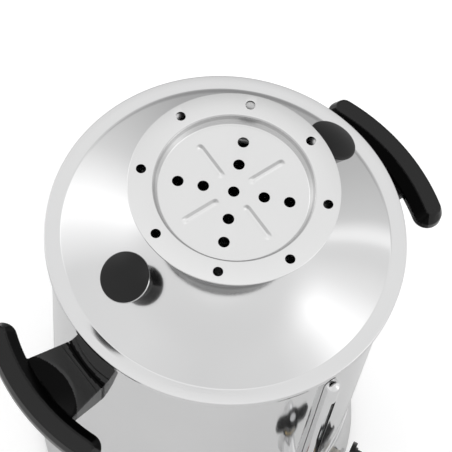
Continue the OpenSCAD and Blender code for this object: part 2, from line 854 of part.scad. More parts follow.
module gauge_washers() {
    color(rubber) for (z = [upper_port_z, lower_port_z])
        to_front(z) translate([0, 0, chord(tank_in_r, port_r + 4) - 1.5])
            ring(port_r + 3.5, port_r + seam, 1.5);
}

module gauge_nuts() {
    color(brass) for (z = [upper_port_z, lower_port_z])
        to_front(z) translate([0, 0, chord(tank_in_r, port_r + 4) - 1.5 - 5])
            hex_nut(port_r + 3.5, port_r + running, 5);
}

module glass_seals() {
    color(rubber) for (z = [glass_low_z - seal_t, glass_high_z])
        translate([0, -gauge_y, z]) ring(glass_r, glass_r - glass_wall, seal_t);
}

module heating_element() {
    color([0.5, 0.5, 0.52]) {
        translate([0, 0, loop_z]) rotate([0, 0, 90 + loop_gap]) rotate_extrude(angle = 360 - 2 * loop_gap)
            translate([loop_r, 0]) circle(r = element_r, $fn = 48);
        for (angle = leg_angles) rotate([0, 0, angle]) translate([loop_r, 0, 0]) {
            translate([0, 0, leg_end_z])
                cylinder(r = leg_r, h = loop_z + element_r + 2 - leg_end_z, $fn = 48);
            translate([0, 0, floor_top_z + gasket_rise]) cylinder(r = gland_r, h = collar_lift, $fn = 48);
            translate([0, 0, leg_end_z - tail_len]) cylinder(r = 2, h = tail_len + cut, $fn = 32);
        }
    }
}

module element_gaskets() {
    color(rubber) for (angle = leg_angles) rotate([0, 0, angle]) translate([loop_r, 0, floor_top_z])
        ring(gland_r, leg_r + seam, gasket_rise);
}

module element_nuts() {
    color(brass) for (angle = leg_angles) rotate([0, 0, angle]) translate([loop_r, 0, floor_z - nut_t])
        hex_nut(gland_r + 2, leg_r + running, nut_t);
}

// Closed tube in the water that holds the thermostat's bulb
module thermowell() {
    color(bright) translate([well_at.x, well_at.y, 0]) difference() {
        union() {
            translate([0, 0, floor_z - 4]) cylinder(r = well_r, h = well_h + 4);
            translate([0, 0, floor_top_z]) cylinder(r = well_r + 2.5, h = 2);
        }
        translate([0, 0, floor_z - 4 - cut]) cylinder(r = bulb_r + seam, h = well_h + 4 + cut - 2);
    }
}

module sensor_bulb() {
    color(brass) translate([well_at.x, well_at.y, floor_z]) cylinder(r = bulb_r, h = well_h - 3);
}

// Corner points of the capillary from the bulb down to the thermostat's back
capillary_z = control_z + 4;
stat_back = control_r - stat_depth - stat_gap - 2;
capillary_route = [
    [well_at.x, well_at.y, floor_z + seam],
    [well_at.x, well_at.y, capillary_z],
    [stat_back * cos(dial_angle) - 6, well_at.y, capillary_z],
    [stat_back * cos(dial_angle) - 6, stat_back * sin(dial_angle), capillary_z],
    [(stat_back + 6) * cos(dial_angle), (stat_back + 6) * sin(dial_angle), capillary_z]
];

// A straight run of round wire with a round end
module wire(a, b, radius) {
    run = b - a;
    turn = atan2(run.y, run.x);
    fall = acos(run.z / norm(run));
    translate(a) rotate([0, fall, turn]) cylinder(r = radius, h = norm(run), $fn = 24);
    translate(a) sphere(r = radius, $fn = 24);
}

module capillary() {
    color(brass) difference() {
        for (i = [0 : len(capillary_route) - 2])
            wire(capillary_route[i], capillary_route[i + 1], capillary_r);
        translate([well_at.x, well_at.y, floor_z]) cylinder(r = 3, h = 6, $fn = 24);
        at_angle(dial_angle, control_z) translate([0, 0, control_r - stat_gap - stat_depth])
            cylinder(r = stat_r, h = 10);
    }
}

module thermostat_body() {
    color([0.85, 0.83, 0.78]) at_angle(dial_angle, control_z) difference() {
        union() {
            translate([0, 0, control_r - stat_gap - stat_depth]) cylinder(r = stat_r, h = stat_depth);
            translate([0, 0, control_r - stat_gap - cut])
                cylinder(r = bush_r, h = stat_gap + cut + nut_off + 3.5);
        }
        translate([0, 0, control_r - stat_gap - shaft_in - cut])
            cylinder(r = shaft_r + running, h = stat_gap + shaft_in + 2 * dial_off);
    }
}

module thermostat_nut() {
    color(bright) at_angle(dial_angle, control_z)
        translate([0, 0, control_r + nut_off]) hex_nut(control_nut_r, bush_r + running, 2.5);
}

module thermostat_shaft() {
    color(bright) at_angle(dial_angle, control_z)
        translate([0, 0, control_r - stat_gap - shaft_in])
            cylinder(r = shaft_r, h = shaft_in + stat_gap + dial_off + dial_h - 4, $fn = 48);
}

module thermostat_knob() {
    color(black) at_angle(dial_angle, control_z) translate([0, 0, control_r + dial_off]) difference() {
        union() {
            cylinder(r = dial_d / 2, h = 4);
            cylinder(r1 = dial_d / 2 - 3, r2 = dial_d / 2 - 5, h = dial_h);
        }
        translate([0, 0, -cut]) cylinder(r = shaft_r + seam, h = dial_h - 4 + cut + seam, $fn = 48);
        for (side = [-1, 1]) translate([-dial_d, side * (dial_d / 2 - 4) - 4, 6])
            cube([2 * dial_d, 8, dial_h]);
        translate([-dial_d / 2, -0.8, dial_h - 0.8]) cube([dial_d / 2, 1.6, 2]);
    }
}

module lamp_holder() {
    color(black) at_angle(lamp_angle, control_z) difference() {
        union() {
            translate([0, 0, control_r - lamp_depth]) cylinder(r = lens_r - 1, h = lamp_depth + 3);
            translate([0, 0, control_r - lamp_depth]) cylinder(r = lens_r + 2, h = lamp_body);
        }
        translate([0, 0, control_r]) cylinder(r = lens_r - 2.4, h = 10, $fn = 48);
    }
}

module pilot_lens() {
    color([0.9, 0.35, 0.08]) at_angle(lamp_angle, control_z) {
        translate([0, 0, control_r + 0.5]) cylinder(r = lens_r - 2.5, h = 3, $fn = 48);
        translate([0, 0, control_r + 3.1]) intersection() {
            translate([0, 0, -lens_r]) sphere(r = lens_r * 1.5);
            cylinder(r = lens_r, h = lens_r);
        }
    }
}

// Heat switch pressed flat against the tank's underside
module boil_dry_cutout() {
    color([0.2, 0.2, 0.22]) {
        translate([0, 0, floor_z - 4]) cylinder(r = 8, h = 4);
        translate([0, 0, floor_z - 12]) cylinder(r = 10, h = 8 + seam);
        for (side = [-1, 1]) translate([side * 5 - 0.4, -3, floor_z - 22]) cube([0.8, 6, 11]);
    }
}

module terminal_block() {
    color([0.9, 0.9, 0.86]) translate([-terminal_w / 2, terminal_y, hem_z]) difference() {
        cube([terminal_w, 16, 14]);
        for (x = [terminal_w / 2 - 14, terminal_w / 2, terminal_w / 2 + 14]) {
            translate([x, -cut, 7]) rotate([-90, 0, 0]) cylinder(r = 2, h = 16 + 2 * cut, $fn = 32);
            translate([x, 8, 7]) cylinder(r = 2, h = 10, $fn = 32);
        }
    }
}

// Socket for a plug-in lead, let into the back of the base
module power_inlet() {
    color(black) difference() {
        translate([-inlet_w / 2, inlet_face_y - inlet_depth, control_z - inlet_h / 2])
            cube([inlet_w, inlet_depth, inlet_h]);
        translate([0, inlet_face_y - socket_depth, control_z])
            translate([-inlet_w / 2 + inlet_wall, 0, -inlet_h / 2 + inlet_wall])
                cube([inlet_w - 2 * inlet_wall, socket_depth + cut, inlet_h - 2 * inlet_wall]);
    }
}

module inlet_pins() {
    color(bright) for (pin = [[-pin_gap, -2], [0, 3], [pin_gap, -2]])
        translate([pin.x - 1, inlet_face_y - socket_depth, control_z + pin.y - 2])
            cube([2, socket_depth - 4, 4]);
}

tank();
tank_floor();
base_skirt();
seat_ring();
bottom_plate();
plate_screws();
feet();
foot_screws();
foot_nuts();
tie_studs();
tie_nuts();
lid();
lid_knob_left();
lid_knob_right();
knob_screws();
knob_washers();
crown_plate();
crown_neck();
handle_left();
handle_right();
handle_screws();
handle_washers();
tap_body();
tap_gasket();
tap_washer();
tap_nut();
tap_plug();
tap_clip();
tap_lever();
tap_lever_screw();
gauge_guard();
gauge_glass();
gauge_upper_fitting();
gauge_lower_fitting();
gauge_washers();
gauge_nuts();
glass_seals();
heating_element();
element_gaskets();
element_nuts();
thermowell();
sensor_bulb();
capillary();
thermostat_body();
thermostat_nut();
thermostat_shaft();
thermostat_knob();
lamp_holder();
pilot_lens();
boil_dry_cutout();
terminal_block();
power_inlet();
inlet_pins();
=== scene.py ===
# %% [markdown]
# # Dressing a samovar
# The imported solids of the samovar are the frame, and this script gives them their looks. It finishes
# the pieces that the eye meets first, the mirror-bright lid, crown and tank and the black mouldings,
# as fine meshes, and gives every other solid a finish of its own.

# %% Load the frame
import json
import math

import bmesh
import bpy
from mathutils import Matrix, Vector


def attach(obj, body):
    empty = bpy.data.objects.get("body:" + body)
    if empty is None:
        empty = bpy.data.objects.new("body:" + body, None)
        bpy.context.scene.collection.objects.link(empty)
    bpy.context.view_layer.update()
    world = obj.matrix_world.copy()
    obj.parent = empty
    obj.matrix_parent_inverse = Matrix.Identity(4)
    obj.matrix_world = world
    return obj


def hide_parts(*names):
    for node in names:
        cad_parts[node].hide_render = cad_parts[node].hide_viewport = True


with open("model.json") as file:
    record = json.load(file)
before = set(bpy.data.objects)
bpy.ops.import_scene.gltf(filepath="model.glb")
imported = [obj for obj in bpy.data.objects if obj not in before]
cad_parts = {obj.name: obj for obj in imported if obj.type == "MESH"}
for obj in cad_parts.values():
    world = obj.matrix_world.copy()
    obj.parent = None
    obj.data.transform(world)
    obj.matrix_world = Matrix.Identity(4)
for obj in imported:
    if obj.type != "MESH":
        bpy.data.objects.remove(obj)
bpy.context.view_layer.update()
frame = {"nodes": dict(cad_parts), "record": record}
MM = 0.001
print("solids in the frame:", len(frame["nodes"]))

# %% [markdown]
# ## Sizes
# Sizes are in millimetres. Most repeat those of the solids, so that each new piece lands on the solid
# that it stands for. The brim's dish, the recess's upper edge, the knobs' height and lean and the
# grips follow the photo a little closer than the solids do. The dome's centre follows from its radius
# and from the corner where it meets the dished brim.

# %% Sizes
SHEET = 1.0
TANK_R = 125.0
BRIM_Z = 375.0
LID_R = 130.0
BRIM_W, BRIM_FLAT, BRIM_DISH = 11.5, 6.3, 0.45
DOME_R = 190.0
DOME_EDGE = LID_R - BRIM_W
DOME_Z = BRIM_Z - BRIM_DISH - math.sqrt(DOME_R ** 2 - DOME_EDGE ** 2)
NECK_R, NECK_TOP_R = 56.0, 71.4
SEAT_LEDGE = 1.2
SEAT_R = NECK_R + SEAT_LEDGE
SEAT_Z = DOME_Z + math.sqrt(DOME_R ** 2 - SEAT_R ** 2)
CROWN_RISE, CROWN_R, CROWN_SHEET = 74.0, 73.0, 1.2
CROWN_Z = BRIM_Z + CROWN_RISE
CROWN_TURN = 42.5
print("dome centre at", round(DOME_Z, 1), "mm, crown seat at", round(SEAT_Z, 1), "mm")

# %% [markdown]
# ## Writing finishes as sums
# A finish is a net of nodes. Written one link at a time it is long and hard to read, so this small
# class wraps a socket: adding or multiplying two of them adds a Math node, and one method makes any
# other node from its type, its settings and its sockets.

# %% A socket that can be added and multiplied
class Wire:
    def __init__(self, tree, socket):
        self.tree = tree
        self.socket = socket

    def _maths(self, operation, first, second):
        return node(self.tree, "ShaderNodeMath", {"operation": operation}, {0: first, 1: second})

    def __add__(self, other): return self._maths("ADD", self, other)
    def __radd__(self, other): return self._maths("ADD", other, self)
    def __sub__(self, other): return self._maths("SUBTRACT", self, other)
    def __mul__(self, other): return self._maths("MULTIPLY", self, other)
    def __truediv__(self, other): return self._maths("DIVIDE", self, other)


def node(tree, kind, settings=None, sockets=None, out=0):
    made = tree.nodes.new(kind)
    for name, value in (settings or {}).items():
        if name == "stops":
            ramp = made.color_ramp.elements
            while len(ramp) < len(value):
                ramp.new(0.5)
            for stop, (place, level) in zip(ramp, value):
                stop.position = place
                stop.color = (level, level, level, 1)
        else:
            setattr(made, name, value)
    for name, value in (sockets or {}).items():
        if isinstance(value, Wire):
            tree.links.new(value.socket, made.inputs[name])
        else:
            made.inputs[name].default_value = value
    return Wire(tree, made.outputs[out])


# %% Helpers for finishes
OBJECT_COORDS = 3
MIXED_COLOUR = 2


def blank_finish(name):
    """A new material with an empty net, and the place on the piece that its patterns follow."""
    material = bpy.data.materials.new(name)
    material.use_nodes = True
    tree = material.node_tree
    tree.nodes.clear()
    return material, tree, node(tree, "ShaderNodeTexCoord", out=OBJECT_COORDS)


def put_out(tree, surface):
    node_out = tree.nodes.new("ShaderNodeOutputMaterial")
    tree.links.new(surface.socket, node_out.inputs["Surface"])


def noise(tree, place, scale, detail=2.0):
    return node(tree, "ShaderNodeTexNoise",
                sockets={"Vector": place, "Scale": scale, "Detail": detail})


def shade(tree, low, high, amount):
    """A colour between two, by an amount from 0 to 1."""
    return node(tree, "ShaderNodeMix", {"data_type": "RGBA"},
                {"Factor": amount, "A": (*low, 1), "B": (*high, 1)}, MIXED_COLOUR)


# %% [markdown]
# ## Metal
# The lid and the tank are polished stainless sheet. It is a mirror, a little soft, so its look comes
# from what it reflects. Fine polishing marks change the roughness slightly from place to place, and a
# faint cloudiness keeps the colour from being one flat grey. Each metal has its two greys, its
# roughness, how far that strays, and how fine its marks are.

# %% Metal finishes
METAL_CLOUD = 14.0


def metal(name, dark, light, rough, spread, grain):
    material, tree, place = blank_finish(name)
    cloud = noise(tree, place, METAL_CLOUD, detail=3.0)
    fine = noise(tree, place, grain)
    surface = node(tree, "ShaderNodeBsdfPrincipled", sockets={
        "Base Color": shade(tree, dark, light, cloud), "Metallic": 1.0,
        "Roughness": rough + (fine - 0.5) * spread})
    put_out(tree, surface)
    return material


mirror_steel = metal("mirror_steel", (0.63, 0.63, 0.635), (0.67, 0.67, 0.67), 0.07, 0.03, 900)
lid_steel = metal("lid_steel", (0.63, 0.63, 0.635), (0.67, 0.67, 0.67), 0.13, 0.03, 900)
crown_steel = metal("crown_steel", (0.69, 0.69, 0.69), (0.73, 0.73, 0.73), 0.24, 0.05, 700)
# Painted shade for the crown's recess: a darker wall, and a darker band still under its lip.
wall_steel = metal("wall_steel", (0.63, 0.63, 0.63), (0.67, 0.67, 0.67), 0.24, 0.05, 700)
lip_steel = metal("lip_steel", (0.48, 0.48, 0.48), (0.53, 0.53, 0.53), 0.24, 0.05, 700)
# Painted shade: the crown's neck sits under the flange, so its steel is darkened to stand in for that
# shadow.
neck_steel = metal("neck_steel", (0.22, 0.22, 0.225), (0.27, 0.27, 0.27), 0.3, 0.08, 500)
bare_steel = metal("bare_steel", (0.60, 0.60, 0.60), (0.66, 0.66, 0.66), 0.28, 0.1, 300)
plain_steel = metal("plain_steel", (0.50, 0.50, 0.51), (0.58, 0.58, 0.58), 0.3, 0.12, 400)
# Painted highlight: bright metal for a band of the left knob's rim, standing in for a line of light.
worn_edge = metal("worn_edge", (0.50, 0.50, 0.50), (0.58, 0.58, 0.58), 0.12, 0.04, 900)
chrome = metal("chrome", (0.66, 0.66, 0.67), (0.72, 0.72, 0.72), 0.05, 0.03, 800)
brass = metal("brass", (0.60, 0.44, 0.19), (0.70, 0.54, 0.26), 0.24, 0.1, 500)
element_sheath = metal("element_sheath", (0.27, 0.26, 0.26), (0.36, 0.35, 0.34), 0.45, 0.15, 300)
print("metals made:", [m.name for m in bpy.data.materials if m.users == 0])

# %% [markdown]
# ## Mouldings, rubber and glass
# Knobs and grips are black heat-proof mouldings. They are glossy with a soft skin, so their sheen
# breaks up a little. Rubber is duller and its grain is coarser. A moulding has its two colours, its
# roughness, how far that strays, the grain of its skin and the depth of that grain.

# %% Mouldings
MOULDING_CLOUD = 40.0
SKIN_DEPTH = 0.2 * MM


def moulding(name, dark, light, rough, spread, grain, depth, coat=0.0, gloss=0.5):
    material, tree, place = blank_finish(name)
    cloud = noise(tree, place, MOULDING_CLOUD, detail=4.0)
    dents = node(tree, "ShaderNodeBump", sockets={
        "Height": noise(tree, place, grain), "Strength": depth, "Distance": SKIN_DEPTH})
    surface = node(tree, "ShaderNodeBsdfPrincipled", sockets={
        "Base Color": shade(tree, dark, light, cloud), "Roughness": rough + (cloud - 0.5) * spread,
        "Normal": dents, "Coat Weight": coat, "Specular IOR Level": gloss})
    put_out(tree, surface)
    return material


black_moulding = moulding("black_moulding", (0.003, 0.003, 0.003), (0.005, 0.005, 0.005),
                          0.15, 0.05, 1500, 0.03, gloss=0.3)
# Painted shade: a deeper black with little gloss, for the handles' places that see little light.
deep_black = moulding("deep_black", (0.0008, 0.0008, 0.0008), (0.0016, 0.0016, 0.0016),
                      0.1, 0.03, 1500, 0.02, gloss=0.06)
satin_black = moulding("satin_black", (0.003, 0.003, 0.003), (0.005, 0.005, 0.005),
                       0.3, 0.05, 1500, 0.03, gloss=0.55)
pale_moulding = moulding("pale_moulding", (0.62, 0.59, 0.53), (0.70, 0.67, 0.61),
                         0.5, 0.1, 900, 0.1)
soft_rubber = moulding("soft_rubber", (0.02, 0.02, 0.02), (0.032, 0.032, 0.032),
                       0.7, 0.15, 700, 0.2)
amber_lens = moulding("amber_lens", (0.62, 0.10, 0.015), (0.74, 0.17, 0.03),
                      0.12, 0.05, 300, 0.05, coat=0.5)
print("black mouldings:", black_moulding.name, deep_black.name, satin_black.name)


# %% Glass
GLASS_STREAKS, GLASS_IOR = 60.0, 1.47


def clear_glass():
    material, tree, place = blank_finish("clear_glass")
    streak = noise(tree, place, GLASS_STREAKS)
    surface = node(tree, "ShaderNodeBsdfPrincipled", sockets={
        "Base Color": shade(tree, (0.86, 0.93, 0.93), (0.94, 0.97, 0.97), streak),
        "Roughness": 0.02 + streak * 0.03, "Transmission Weight": 1.0, "IOR": GLASS_IOR})
    put_out(tree, surface)
    return material


gauge_glass = clear_glass()

# %% [markdown]
# ## A finish for every solid
# The record names a material slot for each solid, and each slot has one finish here. The pieces made
# further down take the place of some of these solids.

# %% Solids
FINISH = {
    "polished_steel": mirror_steel, "plain_steel": plain_steel, "chrome_trim": chrome,
    "brass": brass, "element_sheath": element_sheath, "black_moulding": black_moulding,
    "pale_moulding": pale_moulding, "rubber": soft_rubber, "glass": gauge_glass,
    "lens": amber_lens,
}
for part in frame["record"]["subparts"]:
    solid = frame["nodes"][part["node"]]
    solid.data.materials.clear()
    solid.data.materials.append(FINISH[part["material_slot"]])

# %% [markdown]
# ## Drawing an outline
# Most pieces here were turned or spun on a lathe, so they start as an outline. The outline is drawn
# like a pen stroke: a line extrudes the last point, and an arc spins it. Spinning the whole stroke
# about the tank's axis then makes the piece.

# %% Outlines and turning
SAME_SPOT = 1e-6
# Steps of a full turn, for the large, the middling and the small pieces.
LARGE, MIDDLING, SMALL = 288, 192, 96


def points_of(geometry):
    return [g for g in geometry if isinstance(g, bmesh.types.BMVert)]


class Stroke:
    def __init__(self, r, z):
        self.bm = bmesh.new()
        self.tip = self.bm.verts.new((r * MM, 0, z * MM))

    def line(self, r, z):
        self.tip = bmesh.ops.extrude_vert_indiv(self.bm, verts=[self.tip])["verts"][0]
        self.tip.co = (r * MM, 0, z * MM)
        return self

    def arc(self, r, z, degrees, steps):
        """Turns the tip about a point; a positive angle goes from up towards outwards."""
        made = bmesh.ops.spin(self.bm, geom=[self.tip], cent=(r * MM, 0, z * MM), axis=(0, 1, 0),
                              angle=math.radians(degrees), steps=steps, use_duplicate=False)
        self.tip = points_of(made["geom_last"])[0]
        return self

    def turned(self, steps):
        bm = self.bm
        bmesh.ops.spin(bm, geom=bm.verts[:] + bm.edges[:], cent=(0, 0, 0), axis=(0, 0, 1),
                       angle=math.tau, steps=steps, use_merge=True, use_duplicate=False)
        bmesh.ops.remove_doubles(bm, verts=bm.verts, dist=SAME_SPOT)
        bmesh.ops.recalc_face_normals(bm, faces=bm.faces)
        return bm


# %% [markdown]
# An outline makes an open skin, whose faces may look inwards. The two tests below say which way a
# face should look, and a skin that mostly fails its test is flipped.

# %% Which way a skin looks
def looks_up(face):
    return face.normal.z > 0


def looks_outwards(face):
    """Away from the tank's axis; a level face counts as good."""
    return face.normal.xy.dot(face.calc_center_median().xy) > -1e-9


def face_out(bm, good):
    score = sum((1 if good(f) else -1) for f in bm.faces)
    if score < 0:
        bmesh.ops.reverse_faces(bm, faces=bm.faces)


def close_up(bm):
    """Fills every open edge loop, which makes a skin a closed solid."""
    bmesh.ops.holes_fill(bm, edges=[e for e in bm.edges if e.is_boundary], sides=0)
    bmesh.ops.recalc_face_normals(bm, faces=bm.faces)


# %% [markdown]
# ## Making pieces
# A piece gets its finish, its smooth shading and the body that it rides on, and names the solids that
# it stands for. A spun skin is given its wall by a modifier, and holes are cut with helper meshes.

# %% Pieces
def smooth(mesh, sharp):
    mesh.shade_smooth()
    mesh.set_sharp_from_angle(angle=math.radians(sharp))


def piece(name, bm, material, body, replaces=(), sharp=40):
    mesh = bpy.data.meshes.new(name)
    bm.to_mesh(mesh)
    bm.free()
    mesh.materials.append(material)
    smooth(mesh, sharp)
    made = bpy.data.objects.new(name, mesh)
    bpy.context.scene.collection.objects.link(made)
    if body:
        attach(made, body)
    if replaces:
        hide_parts(*replaces)
    return made


def give_thickness(made, thickness, inner_finish=0):
    """A wall on the inner side; inner_finish counts on from the finish of the outer face."""
    wall = made.modifiers.new("wall", "SOLIDIFY")
    wall.material_offset = inner_finish
    wall.thickness = thickness * MM
    wall.offset = -1
    wall.use_even_offset = True


# %% Cuts
def settle(made, sharp=40):
    """Works the modifiers into the mesh itself."""
    bpy.context.view_layer.update()
    ready = made.evaluated_get(bpy.context.evaluated_depsgraph_get())
    mesh = bpy.data.meshes.new_from_object(ready)
    made.modifiers.clear()
    made.data = mesh
    smooth(mesh, sharp)


def cut_with(made, tool):
    """Cuts a piece with a helper mesh, which is thrown away afterwards."""
    helper = piece(made.name + "_tool", tool, plain_steel, None)
    cut = made.modifiers.new("cut", "BOOLEAN")
    cut.operation = "DIFFERENCE"
    cut.solver = "EXACT"
    cut.object = helper
    settle(made)
    bpy.data.objects.remove(helper)


def rod(bm, radius, length, segments, place):
    bmesh.ops.create_cone(bm, cap_ends=True, segments=segments, radius1=radius * MM,
                          radius2=radius * MM, depth=length * MM, matrix=place)


def block(size, centre):
    bm = bmesh.new()
    corners = bmesh.ops.create_cube(bm, size=1.0)["verts"]
    bmesh.ops.scale(bm, vec=[s * MM for s in size], verts=corners)
    bmesh.ops.translate(bm, vec=[c * MM for c in centre], verts=corners)
    return bm


# %% [markdown]
# ## The lid
# The lid is one spun sheet: a brim with a rolled edge, dished a little towards the dome, a small soft
# corner, and the dome up to the flat seat and the collar where the crown stands. One stroke gives the
# upper skin, and a wall thickness makes it a sheet. The corner is a ball's path: the ball rests on
# dome and brim.

# %% Lid corner
DISH = math.atan2(BRIM_DISH, BRIM_W - BRIM_FLAT)
CORNER_R, BEND_R = 2.5, 6.0


def corner_centre():
    """Where the centre of a ball lies that touches both the dome and the dished brim."""
    low, high = DOME_EDGE - 5, DOME_EDGE + 8
    for _ in range(50):  # halves the span until it is as good as a point
        x = (low + high) / 2
        brim = BRIM_Z - BRIM_DISH + math.tan(DISH) * (x - DOME_EDGE)
        z = brim + CORNER_R / math.cos(DISH)
        if math.hypot(x, z - DOME_Z) < DOME_R + CORNER_R:
            low = x
        else:
            high = x
    return x, z


corner_x, corner_z = corner_centre()
edge_angle = math.degrees(math.asin(corner_x / (DOME_R + CORNER_R)))
seat_angle = math.degrees(math.asin(SEAT_R / DOME_R))
dish_angle = math.degrees(DISH)
print("dome runs into the brim's corner at", round(edge_angle, 1), "degrees")

# %% Lid
COLLAR_GAP, COLLAR_H, COLLAR_ROUND = 0.3, 10.0, 0.6
COLLAR_R = NECK_R - SHEET - COLLAR_GAP
EDGE_ROUND, HEM_Z, HEM_ROUND = 0.7, BRIM_Z - 5.4, 0.6
lid_stroke = Stroke(COLLAR_R, SEAT_Z + COLLAR_H).line(COLLAR_R, SEAT_Z + COLLAR_ROUND)
lid_stroke.line(COLLAR_R + COLLAR_ROUND, SEAT_Z).line(SEAT_R, SEAT_Z)
lid_stroke.arc(0, DOME_Z, edge_angle - seat_angle, 48)
lid_stroke.arc(corner_x, corner_z, -edge_angle - dish_angle, 20)
bend = BEND_R * math.tan(DISH / 2)
flat_r = LID_R - BRIM_FLAT
lid_stroke.line(flat_r - bend * math.cos(DISH), BRIM_Z - bend * math.sin(DISH))
lid_stroke.arc(flat_r + bend, BRIM_Z - BEND_R, dish_angle, 5)
lid_stroke.line(LID_R - EDGE_ROUND, BRIM_Z).arc(LID_R - EDGE_ROUND, BRIM_Z - EDGE_ROUND, 90, 8)
lid_stroke.line(LID_R, HEM_Z).arc(LID_R - HEM_ROUND, HEM_Z, 90, 4)
lid_skin = lid_stroke.turned(LARGE)
face_out(lid_skin, looks_up)
lid = piece("lid_shell", lid_skin, lid_steel, "lid", ["lid"], 30)
lid.data.materials.append(bare_steel)
give_thickness(lid, SHEET, 1)
print("lid faces before its wall:", len(lid.data.polygons))

# %% [markdown]
# ## The crown
# The crown is a pressed plate: a flange and a round recess with a sloping wall and soft corners,
# pierced for steam. The plate is turned first and pierced after, as on the real press. The recess's
# wall carries painted shade: its steel is a shade darker than the plate, and darkest in a band under
# its upper edge.

# %% Crown plate
RECESS_LOW, RECESS_TOP, RECESS_DEEP = 52.3, 55.4, 7.7
RECESS_Z = CROWN_Z - RECESS_DEEP
FOOT_ROUND, LIP_ROUND, LIP_DEEP = 0.9, 1.6, 3.4
CROWN_POLE, CROWN_EDGE = 0.4, 0.4
wall_angle = math.degrees(math.atan2(CROWN_Z - RECESS_Z, RECESS_TOP - RECESS_LOW))
wall_run, wall_rise = math.cos(math.radians(wall_angle)), math.sin(math.radians(wall_angle))
half_turn = math.tan(math.radians(wall_angle / 2))
foot_r, lip = RECESS_LOW - FOOT_ROUND * half_turn, LIP_ROUND * half_turn
crown_stroke = Stroke(CROWN_POLE, RECESS_Z).line(foot_r, RECESS_Z)
crown_stroke.arc(foot_r, RECESS_Z + FOOT_ROUND, -wall_angle, 14)
crown_stroke.line(RECESS_TOP - LIP_DEEP * wall_run / wall_rise, CROWN_Z - LIP_DEEP)
crown_stroke.line(RECESS_TOP - lip * wall_run, CROWN_Z - lip * wall_rise)
crown_stroke.arc(RECESS_TOP + lip, CROWN_Z - LIP_ROUND, wall_angle, 10)
crown_stroke.line(CROWN_R - CROWN_EDGE, CROWN_Z)
crown_stroke.arc(CROWN_R - CROWN_EDGE, CROWN_Z - CROWN_EDGE, 90, 5)
crown_stroke.line(CROWN_R, CROWN_Z - CROWN_SHEET)
crown_skin = crown_stroke.turned(MIDDLING)
face_out(crown_skin, looks_up)
print("the recess's wall rises at", round(wall_angle, 1), "degrees")

# %% Crown finishes
# The recess's wall gets painted shade, darkest in the band under its lip.
PLATE, WALL_SHADE, LIP_SHADE = 0, 1, 3
WALL_FROM, WALL_TO = 52.6, 60.0
WALL_STEEP, WALL_LEVEL = 0.1, 0.97
for f in crown_skin.faces:
    spot = f.calc_center_median() / MM
    on_wall = WALL_FROM < spot.xy.length < WALL_TO and WALL_STEEP < f.normal.z < WALL_LEVEL
    f.material_index = PLATE if not on_wall else LIP_SHADE if spot.z > CROWN_Z - LIP_DEEP else WALL_SHADE
crown = piece("crown_top", crown_skin, crown_steel, "crown", ["crown_plate"], 30)
for finish in (wall_steel, bare_steel, lip_steel):
    crown.data.materials.append(finish)
give_thickness(crown, CROWN_SHEET, 2)
print("crown finishes:", [m.name for m in crown.data.materials])

# %% Crown holes
STEAM_HOLE_R, FLANGE_HOLE_R = 4.0, 3.5
INNER_RING, OUTER_RING, FLANGE_RING = 21.2, 38.9, 64.7
DRILL_Z, DRILL_LENGTH = CROWN_Z - 4, 30.0


def drill(bm, r, degrees, radius):
    turn = Matrix.Rotation(math.radians(degrees), 4, "Z")
    rod(bm, radius, DRILL_LENGTH, 40, turn @ Matrix.Translation((r * MM, 0, DRILL_Z * MM)))


drills = bmesh.new()
drill(drills, 0, 0, STEAM_HOLE_R)
for k in range(4):
    drill(drills, INNER_RING, CROWN_TURN + 90 * k, STEAM_HOLE_R)
    drill(drills, OUTER_RING, CROWN_TURN + 90 * k, STEAM_HOLE_R)
for k in range(8):
    drill(drills, FLANGE_RING, CROWN_TURN + 45 * k, FLANGE_HOLE_R)
cut_with(crown, drills)
print("crown faces after piercing:", len(crown.data.polygons))

# %% [markdown]
# The four ribs are low swellings that fade into the plate, so each is a small sheet lifted by a
# cosine, sunk a hair so that its edges vanish.

# %% Crown ribs
RIB_FROM, RIB_TO, RIB_W, RIB_RISE = 12.0, 43.5, 6.5, 1.0
RIB_FADE, RIB_SINK = 0.16, 0.03
ribs = bmesh.new()
for k in range(4):
    sheet = bmesh.ops.create_grid(ribs, x_segments=64, y_segments=20, size=0.5)["verts"]
    for v in sheet:
        along = min(0.5 - abs(v.co.x), RIB_FADE) / RIB_FADE
        ends, sides = 0.5 - 0.5 * math.cos(math.pi * along), 0.5 + 0.5 * math.cos(math.tau * v.co.y)
        v.co.z = RIB_RISE * ends * sides - RIB_SINK
    turn = Matrix.Rotation(math.radians(CROWN_TURN + 45 + 90 * k), 4, "Z")
    bmesh.ops.scale(ribs, vec=((RIB_TO - RIB_FROM) * MM, RIB_W * MM, MM), verts=sheet)
    bmesh.ops.translate(ribs, vec=((RIB_FROM + RIB_TO) / 2 * MM, 0, RECESS_Z * MM), verts=sheet)
    bmesh.ops.transform(ribs, matrix=turn, verts=sheet)
bmesh.ops.recalc_face_normals(ribs, faces=ribs.faces)
face_out(ribs, looks_up)
piece("crown_ribs", ribs, crown_steel, "crown", sharp=60)
print("ribs rise", RIB_RISE, "mm")

# %% Crown neck
NECK_ROUND, NECK_GAP = 0.8, 0.05
neck_stroke = Stroke(NECK_R + NECK_ROUND, SEAT_Z + NECK_GAP)
neck_stroke.arc(NECK_R + NECK_ROUND, SEAT_Z + NECK_GAP + NECK_ROUND, 70, 6)
neck_stroke.line(NECK_TOP_R, CROWN_Z - CROWN_SHEET - NECK_GAP)
neck_skin = neck_stroke.turned(MIDDLING)
face_out(neck_skin, looks_outwards)
# The neck's outside carries painted shade, darker steel for the flange's shadow.
neck = piece("crown_neck_tube", neck_skin, neck_steel, "crown", ["crown_neck"])
neck.data.materials.append(bare_steel)
give_thickness(neck, SHEET, 1)
print("the neck widens from", NECK_R, "to", NECK_TOP_R, "mm")
